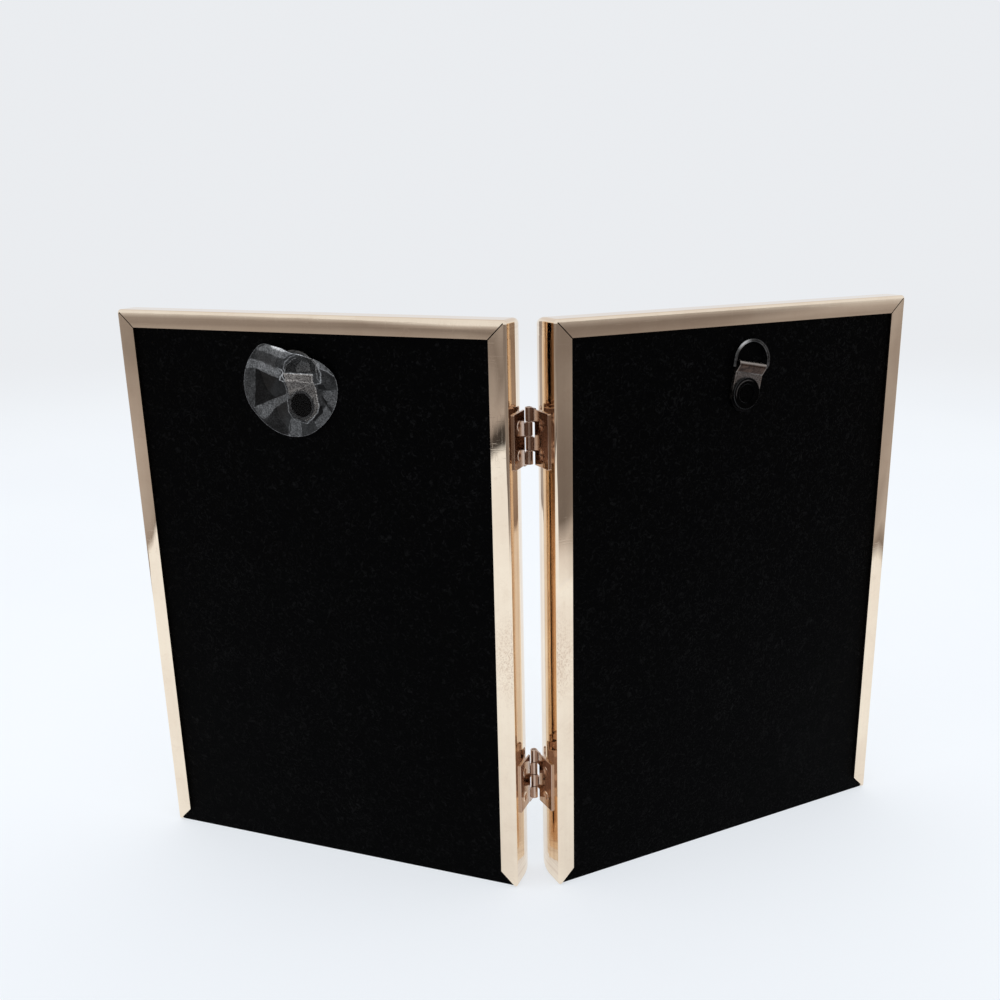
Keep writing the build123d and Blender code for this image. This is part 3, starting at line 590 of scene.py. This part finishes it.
# Creases of the film, as haze with painted sheen, half width in mm and places as above
film_creases = {
    "cap_fold": (0.3, 0.16, ((11, 11.5), (6, 10.5), (2, 9.5), (0.5, 9))),
    "band_top": (0.24, 0.1, ((12.5, 8), (2.5, 6))),
    "band_foot": (0.34, 0.14, ((13, 5.5), (7.5, 4), (2, 3))),
    "outer_rim": (0.2, 0.1, ((12.5, 5.5), (13, -0.5), (14, -7))),
    "ring_outer": (0.42, 0.14, ((0.5, 5), (1, 6), (0, 8), (-2, 9.5), (-4.5, 10.5), (-6.5, 10.5))),
    "ring_outer_bore": (0.3, 0.1, ((0.5, 5), (0, 7), (-2, 8.5), (-4, 9.5))),
    "ring_inner": (0.5, 0.18, (
        (-9, 10), (-10.5, 8.5), (-11, 7), (-11.5, 5), (-11.5, 3), (-11, 2), (-9.5, 1.5),
    )),
    "ring_inner_bore": (0.34, 0.12, ((-9.5, 9), (-10.5, 7.5), (-10.5, 3.5), (-11, 2.5))),
    "ring_knot": (0.5, 0.18, ((2.5, 6), (1.5, 5.5), (1, 4.5), (2, 3.5), (2.5, 2.5), (1, 2))),
    "roll_top": (0.6, 0.22, ((1, 4.5), (-9, 4.5))),
    "roll_foot": (0.52, 0.2, ((0.5, 2.5), (-3, 2.5), (-6, 2), (-9, 2))),
    "roll_outer_end": (0.48, 0.16, ((1, 4.5), (1.5, 3.5), (0.5, 2))),
    "roll_inner_end": (0.48, 0.16, ((-9, 4.5), (-8.5, 3), (-9, 1.5))),
    "strap_outer_edge": (0.34, 0.14, (
        (1, 2), (1, -1), (0.5, -4), (0.5, -7), (-0.5, -9), (-2, -10), (-5.5, -10.5),
    )),
    "strap_inner_edge": (0.46, 0.16, (
        (-9, 1.5), (-9, 0), (-9.5, -2.5), (-10, -5), (-9.5, -7), (-7.5, -9), (-5.5, -10.5),
    )),
    "wedge_top": (0.28, 0.1, ((14, -7), (8, -4.5), (1, -2), (-4.5, 0.5))),
    "wedge_foot": (0.32, 0.12, ((-0.5, -3), (-2.5, -1), (-5, 0.5), (-9, 2))),
    "rivet_top": (0.3, 0.1, rivet_arc(4.6, 30, 150)),
    "cap_end": (0.44, 0.14, ((-11, 8), (-11.5, 6.5), (-13.5, 5.5), (-15, 4))),
    "inner_vein": (0.3, 0.1, ((-11.5, -0.5), (-13.5, -0.5), (-14.5, -2), (-14.5, -3.5))),
    "inner_slit": (0.02, 0.18, ((-11, -2), (-12, -4), (-13.5, -7))),
    "foot_outer": (0.3, 0.1, ((0, -9.5), (2, -12.5), (2.5, -15.5))),
    "foot_middle": (0.3, 0.08, ((-3, -10), (-2, -12.5), (-1, -15.5))),
    "foot_inner": (0.3, 0.1, ((-3.5, -10), (-2, -15.5))),
    "bright_fold": (1, 0.42, ((4.5, 12.5), (2.5, 12), (-1.5, 11.5), (-8, 10.5), (-9.5, 10))),
    "second_fold": (0.7, 0.26, ((1.5, 12), (-2.5, 11), (-6.5, 10.5), (-9, 9.5))),
}


def hanger_reach(node):
    """How far a hanger piece stands back from the right frame's panel, in mm."""
    back = rearward(sides["right"])
    return (span(node, back)[1] - span("right_back_cover", back)[1]) / mm


def film_height(out, rise, tops):
    """Height of the film over the panel, tented from each hanger piece, all in mm from the rivet."""
    tilt = hanger_tilts["right"]
    along = rise * math.cos(tilt) + out * math.sin(tilt)
    across = out * math.cos(tilt) - rise * math.sin(tilt)
    half_width = strap_width / 2
    foot_middle = half_width - strap_foot
    beside = np.maximum(np.abs(across) - half_width, 0)
    rivet_gap = np.maximum(np.hypot(out, rise) - tops["rivet_radius"], 0)
    foot_gap = np.maximum(np.hypot(across, along - foot_middle) - half_width, 0)
    flat_gap = np.hypot(beside, np.maximum(along - rivet_to_bar, 0))
    strap_gap = np.where(along < foot_middle, foot_gap, flat_gap)
    roll_gap = np.hypot(beside, np.maximum(np.abs(along - rivet_to_bar) - roll_half_height, 0))
    bow_radius = (ring_width - wire_diameter) / 2
    bow_middle = rivet_to_bar + ring_height - ring_width / 2
    bow_gap = np.abs(np.hypot(across, along - bow_middle) - bow_radius)
    leg_gap = np.hypot(np.abs(across) - bow_radius, np.maximum(rivet_to_bar - along, 0))
    ring_gap = np.maximum(np.where(along > bow_middle, bow_gap, leg_gap) - wire_diameter / 2, 0)
    rise_share = np.clip((along - rivet_to_bar) / ring_height, 0, 1)
    ring_top = tops["roll"] + (tops["ring"] - tops["roll"]) * rise_share
    tents = (
        tops["rivet"] - rivet_gap * film_fall,
        tops["strap"] - strap_gap * film_fall,
        tops["roll"] - roll_gap * film_fall,
        ring_top - ring_gap * film_fall,
    )
    return np.maximum(np.maximum.reduce(tents), film_lift)


def inside(corners, out, rise):
    """Which places lie within a polygon."""
    within = np.zeros(out.shape, bool)
    for (out_a, rise_a), (out_b, rise_b) in zip(corners, corners[1:] + corners[:1]):
        if rise_a != rise_b:
            crossing = out_a + (out_b - out_a) * (rise - rise_a) / (rise_b - rise_a)
            within ^= ((rise_a > rise) != (rise_b > rise)) & (out < crossing)
    return within


def line_gap(corners, out, rise):
    """Distance of each place from a line of straight runs."""
    gap = np.full(out.shape, np.inf)
    for (out_a, rise_a), (out_b, rise_b) in zip(corners, corners[1:]):
        run, climb = out_b - out_a, rise_b - rise_a
        share = np.clip(((out - out_a) * run + (rise - rise_a) * climb) / (run**2 + climb**2), 0, 1)
        gap = np.minimum(gap, np.hypot(out - out_a - share * run, rise - rise_a - share * climb))
    return gap


def film_haze_and_sheen(out, rise, edge_gap):
    """Haze of the film, with painted sheen and shade, at each place: its facets, its creases and its rim."""
    cloud = np.full(out.shape, plain_haze_and_sheen)
    wavy_out = out + film_waviness * np.sin(2.1 * rise + 1.3 * out)
    wavy_rise = rise + film_waviness * np.sin(1.9 * out - 1.1 * rise)
    for shade, corners in film_facets.values():
        cloud[inside(corners, wavy_out, wavy_rise)] = shade
    for shade, half_width, corners in film_creases.values():
        share = np.exp(-((line_gap(corners, wavy_out, wavy_rise) / half_width) ** 2))
        cloud = cloud + (shade - cloud) * share
    return np.maximum(cloud, rim_haze_and_sheen * np.exp(-((edge_gap / rim_half_width) ** 2)))


def windows(out, rise):
    """How far the film clears at each place: over the hanger, and not on the black panel."""
    over = np.zeros(out.shape)
    for name, share in film_windows.items():
        over[inside(film_facets[name][1], out, rise)] = share
    return over


def clear_film(name):
    """Clear film: see-through over the hanger, black on the black panel, milky where it is creased, with
    painted sheen and shade on its facets and creases.
    """
    material, tree, shader = new_material(name)
    # Haze with painted sheen and shade, set on the film's points per facet and crease
    haze_sheen = attribute(tree, "haze_and_painted_sheen")
    window = attribute(tree, "window")
    where = place(tree)
    crumple = noise(tree, where, 240, 4, 0.55, 1.0)
    grit = noise(tree, where, 2300, 3, 0.7)
    soft = level(tree, crumple, 0.3, 0.7, 0.8, 1.2)
    fine = level(tree, grit, 0.36, 0.64, 0.6, 1.44)
    cloud = calculate(tree, "MULTIPLY", calculate(tree, "MULTIPLY", haze_sheen, soft), fine)
    haze_sheen_cover = calculate(tree, "ADD", calculate(tree, "MULTIPLY", cloud, 0.6), 0.22)
    whiteness = calculate(tree, "ADD", calculate(tree, "MULTIPLY", cloud, 0.95), 0.004)
    white = calculate(tree, "MINIMUM", whiteness, 0.78)
    haze_sheen_light = calculate(tree, "SUBTRACT", calculate(tree, "MULTIPLY", haze_sheen_cover, white), 0.008)
    light = calculate(tree, "MAXIMUM", haze_sheen_light, 0.001)
    over_hanger = level(tree, cloud, 0.0, 0.6, 0.5, 0.85)
    cover = blend_value(tree, window, 1.0, over_hanger)
    grey = calculate(tree, "DIVIDE", light, cover)
    haze_sheen_tint = blend_colour(tree, window, colour(0.97, 0.98, 1.0), colour(1.0, 0.93, 0.88))
    tone = blend_colour(tree, grey, colour(0.0, 0.0, 0.0), haze_sheen_tint)
    rough = level(tree, cloud, 0.0, 0.6, 0.3, 0.4)
    surface = relief(tree, noise(tree, where, 200, 1), 0.00003, 0.5)
    connect(tree, shader, Base_Color=tone, Roughness=rough, Alpha=cover, Normal=surface, IOR=1.5)
    connect(tree, shader, Specular_IOR_Level=0.12)
    return material


def add_mesh(name, vertices, faces):
    """Mesh object in the scene."""
    mesh = bpy.data.meshes.new(name)
    mesh.from_pydata(vertices, [], faces)
    sheet = bpy.data.objects.new(name, mesh)
    bpy.context.scene.collection.objects.link(sheet)
    return sheet


def build_sticker():
    """Round film pressed to the panel at its rim and tented over the rivet, strap and ring."""
    across, back = outward(sides["right"]), rearward(sides["right"])
    rivet = hanger_middle("right")
    rivet_span = span("right_hanger_rivet", across)
    tops = {
        "rivet": hanger_reach("right_hanger_rivet") + film_clearance,
        "rivet_radius": (rivet_span[1] - rivet_span[0]) / 2 / mm,
        "strap": strap_flat_top + film_clearance,
        "roll": hanger_reach("right_hanger_strap") + film_clearance,
        "ring": hanger_reach("right_hanger_ring") + film_clearance,
    }
    turns = np.arange(film_spokes) * (360 / film_spokes)
    rim_turns, rim_reaches = zip(*film_rim)
    outline = np.interp(turns, rim_turns, rim_reaches, period=360)
    outline = (np.roll(outline, 5) + np.roll(outline, -5) + outline) / 3
    shares = np.arange(film_rings + 1)[:, None] / film_rings
    reach = shares * outline
    out = reach * np.cos(np.radians(turns))
    rise = reach * np.sin(np.radians(turns))
    # Haze with painted sheen and shade at each point of the film
    haze_sheen = film_haze_and_sheen(out, rise, outline - reach)
    height = film_height(out + sticker_outward, rise + sticker_up, tops)
    vertices, faces = [], []
    for ring in range(film_rings + 1):
        for spoke in range(film_spokes):
            aside = across * (out[ring, spoke] + sticker_outward)
            above = up * (rise[ring, spoke] + sticker_up)
            vertices.append(rivet + (aside + above + back * height[ring, spoke]) * mm)
    for ring in range(film_rings):
        for spoke in range(film_spokes):
            here = ring * film_spokes + spoke
            after = ring * film_spokes + (spoke + 1) % film_spokes
            faces.append((here, here + film_spokes, after + film_spokes, after))
    film = add_mesh("sticker_film", vertices, faces)
    mesh = film.data
    for attribute_name, values in (("haze_and_painted_sheen", haze_sheen), ("window", windows(out, rise))):
        layer = mesh.attributes.new(attribute_name, "FLOAT", "POINT")
        layer.data.foreach_set("value", values.ravel())
    for polygon in mesh.polygons:
        polygon.use_smooth = True
    weld = film.modifiers.new("weld", "WELD")
    weld.merge_threshold = 0.001 * mm
    mesh.materials.append(clear_film("clear_film"))
    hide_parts("clear_sticker")
    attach(film, "right_back")


# Pale studio, in metres: the floor fades into the backdrop between two distances
background = colour(0.825, 0.843, 0.87)
floor_radius = 12
floor_glow_share = 0.62
floor_fade = (0.3, 1.5)
ground_lift = 0.6 * mm
lamp_place = Vector((0.15, 0.25, 1.8))
lamp_width = 1.6

# Camera solved from the corners of both frames in the photograph
camera_place = (0.018563, 0.344761, 0.216119)
camera_degrees = (72.559, 0.626, 175.859)
camera_lens = 40.08
camera_shift = (-0.0434, 0.0418)


def stay_below(sheet):
    """Keeps a sheet on the floor's level under the back panels, also where one is drawn out downward."""
    group = bpy.data.node_groups.new(sheet.name + "_level", "GeometryNodeTree")
    group.interface.new_socket(name="Geometry", in_out="INPUT", socket_type="NodeSocketGeometry")
    group.interface.new_socket(name="Geometry", in_out="OUTPUT", socket_type="NodeSocketGeometry")
    given = add_node(group, "NodeGroupInput").outputs["Geometry"]
    lowest = 0.0
    for side in sides:
        panel_object = {"Object": nodes[side + "_backing_board"]}
        panel = add_node(group, "GeometryNodeObjectInfo", panel_object, transform_space="RELATIVE")
        box = add_node(group, "GeometryNodeBoundBox", {"Geometry": panel.outputs["Geometry"]})
        lowest = calculate(group, "MINIMUM", axis_part(group, box.outputs["Min"], "Z"), lowest)
    drop = add_node(group, "ShaderNodeCombineXYZ", {"Z": lowest}).outputs[0]
    lowered = add_node(group, "GeometryNodeTransform", {"Geometry": given, "Translation": drop})
    add_node(group, "NodeGroupOutput", {"Geometry": lowered.outputs["Geometry"]})
    sheet.modifiers.new("level", "NODES").node_group = group


def build_floor():
    """Plain pale floor, far wider than the view, meeting the backdrop in its own colour."""
    bpy.ops.mesh.primitive_circle_add(
        vertices=96, radius=floor_radius, fill_type="NGON", location=(0, 0, 0)
    )
    floor = bpy.context.object
    floor.name = "floor"
    material, tree, shader = new_material("pale_floor")
    where = place(tree)
    cloud = level(tree, noise(tree, where, 3, 2), 0.3, 0.7)
    tone = blend_colour(tree, cloud, colour(0.885, 0.92, 0.965), colour(0.905, 0.94, 0.98))
    far = level(tree, vector_math(tree, "LENGTH", where), *floor_fade)
    connect(tree, shader, Base_Color=tone, Roughness=0.9, Specular_IOR_Level=0.1)
    faded = blend_colour(tree, far, tone, background)
    glow = add_node(tree, "ShaderNodeEmission", {"Color": faded, "Strength": 1.0})
    glow_share = level(tree, far, 0.0, 1.0, floor_glow_share, 1.0)
    share = calculate(tree, "MULTIPLY", shown_rays(tree), glow_share)
    mixed = add_node(tree, "ShaderNodeMixShader", {0: share, 1: shader.outputs[0], 2: glow.outputs[0]})
    output = next(node for node in tree.nodes if node.type == "OUTPUT_MATERIAL")
    tree.links.new(mixed.outputs[0], output.inputs["Surface"])
    floor.data.materials.append(material)
    stay_below(floor)


# Ground seen in reflections: bearing in degrees from +X, then distance in metres and brightness
mirrored_ground = (
    (-60.0, ((0.44, 0.9), (0.46, 0.30), (0.52, 0.37), (0.76, 0.44), (1.6, 0.30), (2.2, 0.34), (4, 0.8))),
    (8.0, ((0.44, 0.9), (0.46, 0.30), (0.52, 0.37), (0.76, 0.44), (1.6, 0.30), (2.2, 0.34), (4, 0.8))),
    (18.0, ((0.46, 0.9), (0.48, 0.29), (0.52, 0.36), (0.76, 0.44), (1.5, 0.28), (2.2, 0.30), (4, 0.7))),
    (30.0, ((0.55, 0.9), (0.60, 0.12), (0.68, 0.36), (0.80, 0.36), (1.5, 0.24), (2.1, 0.27), (3.6, 0.65))),
    (37.0, ((0.60, 0.9), (0.65, 0.06), (0.70, 0.25), (0.80, 0.36), (1.5, 0.21), (1.9, 0.24), (3.0, 0.55))),
    (42.5, ((0.64, 0.9), (0.68, 0.03), (0.73, 0.04), (0.80, 0.37), (1.4, 0.20), (1.8, 0.42), (2.3, 0.8))),
    (47.0, ((0.66, 0.9), (0.70, 0.02), (0.76, 0.03), (0.83, 0.37), (1.05, 0.20), (1.8, 0.40), (2.3, 0.8))),
    (60.0, ((0.70, 0.9), (0.74, 0.05), (0.80, 0.20), (0.90, 0.30), (1.3, 0.20), (1.7, 0.25), (4, 0.7))),
    (95.0, ((0.50, 0.9), (0.55, 0.10), (0.60, 0.20), (0.80, 0.25), (1.1, 0.20), (2.2, 0.25), (4, 0.6))),
    (125.0, ((0.30, 0.9), (0.36, 0.75), (0.41, 0.45), (0.45, 0.16), (0.95, 0.22), (1.6, 0.20), (4, 0.6))),
    (140.0, ((0.32, 0.9), (0.36, 0.80), (0.40, 0.55), (0.45, 0.14), (0.95, 0.22), (1.55, 0.20), (4, 0.6))),
    (152.0, ((0.34, 0.9), (0.39, 0.50), (0.42, 0.24), (0.50, 0.28), (1.0, 0.28), (1.8, 0.21), (4, 0.6))),
    (158.0, ((0.36, 0.9), (0.40, 0.35), (0.44, 0.28), (0.55, 0.35), (1.2, 0.33), (2.0, 0.44), (4, 0.75))),
    (167.0, ((0.40, 0.9), (0.44, 0.22), (0.49, 0.45), (0.70, 0.38), (1.36, 0.33), (2.2, 0.38), (4, 0.75))),
    (200.0, ((0.40, 0.9), (0.44, 0.22), (0.49, 0.45), (0.70, 0.38), (1.36, 0.33), (2.2, 0.38), (4, 0.75))),
)


def build_dim_room():
    """Grey ground beyond the lit floor, which shows only in reflections."""
    vertices, faces, tones = [], [], []
    rows = len(mirrored_ground[0][1])
    for bearing, spots in mirrored_ground:
        for distance, tone in spots:
            turn = math.radians(bearing)
            vertices.append((distance * math.cos(turn), distance * math.sin(turn), ground_lift))
            tones.append(tone)
    for column in range(len(mirrored_ground) - 1):
        for row in range(rows - 1):
            corner = column * rows + row
            faces.append((corner, corner + 1, corner + 1 + rows, corner + rows))
    ground = add_mesh("dim_ground", vertices, faces)
    colours = ground.data.attributes.new("tone", "FLOAT_COLOR", "POINT").data
    for spot, tone in zip(colours, tones):
        spot.color = colour(tone, tone * (0.80 + 0.24 * tone), tone * (0.70 + 0.38 * tone))
    material, tree, shader = new_material("dim_ground")
    tone = attribute(tree, "tone", "Color")
    cloud = level(tree, noise(tree, place(tree), 4, 3), 0.3, 0.7, 0.0, 0.12)
    base = blend_colour(tree, cloud, tone, colour(0.1, 0.08, 0.07))
    connect(tree, shader, Base_Color=base, Roughness=0.9, Specular_IOR_Level=0.1)
    ground.data.materials.append(material)
    ground.visible_camera = False
    ground.visible_diffuse = False
    ground.visible_transmission = False
    ground.visible_shadow = False
    stay_below(ground)


def build_light():
    """Even white surroundings and one wide soft lamp overhead."""
    world = bpy.data.worlds.new("white_room")
    bpy.context.scene.world = world
    world.use_nodes = True
    tree = world.node_tree
    tree.nodes.clear()
    surroundings = {"Color": colour(0.98, 0.99, 1.0), "Strength": 0.97}
    lighting = add_node(tree, "ShaderNodeBackground", surroundings)
    pale = add_node(tree, "ShaderNodeBackground", {"Color": background, "Strength": 1.0})
    layers = {0: shown_rays(tree), 1: lighting.outputs[0], 2: pale.outputs[0]}
    mixed = add_node(tree, "ShaderNodeMixShader", layers)
    add_node(tree, "ShaderNodeOutputWorld", {"Surface": mixed.outputs[0]})
    lamp = bpy.data.lights.new("overhead", "AREA")
    lamp.shape = "DISK"
    lamp.size = lamp_width
    lamp.energy = 6.0
    lamp_object = bpy.data.objects.new("overhead", lamp)
    lamp_object.location = lamp_place
    lamp_object.rotation_euler = (-lamp_place).to_track_quat("-Z", "Y").to_euler()
    lamp_object.visible_glossy = False
    bpy.context.scene.collection.objects.link(lamp_object)


def build_camera():
    """Camera behind the pair, where the photograph was taken."""
    camera = bpy.data.cameras.new("camera")
    camera.lens = camera_lens
    camera.sensor_width = 36
    camera.shift_x, camera.shift_y = camera_shift
    stand = bpy.data.objects.new("camera", camera)
    stand.location = camera_place
    stand.rotation_euler = Euler([math.radians(turn) for turn in camera_degrees])
    bpy.context.scene.collection.objects.link(stand)
    bpy.context.scene.camera = stand


bpy.context.scene.view_settings.view_transform = "Standard"
build_camera()
build_floor()
build_dim_room()
build_light()
finish_pieces()
build_sticker()
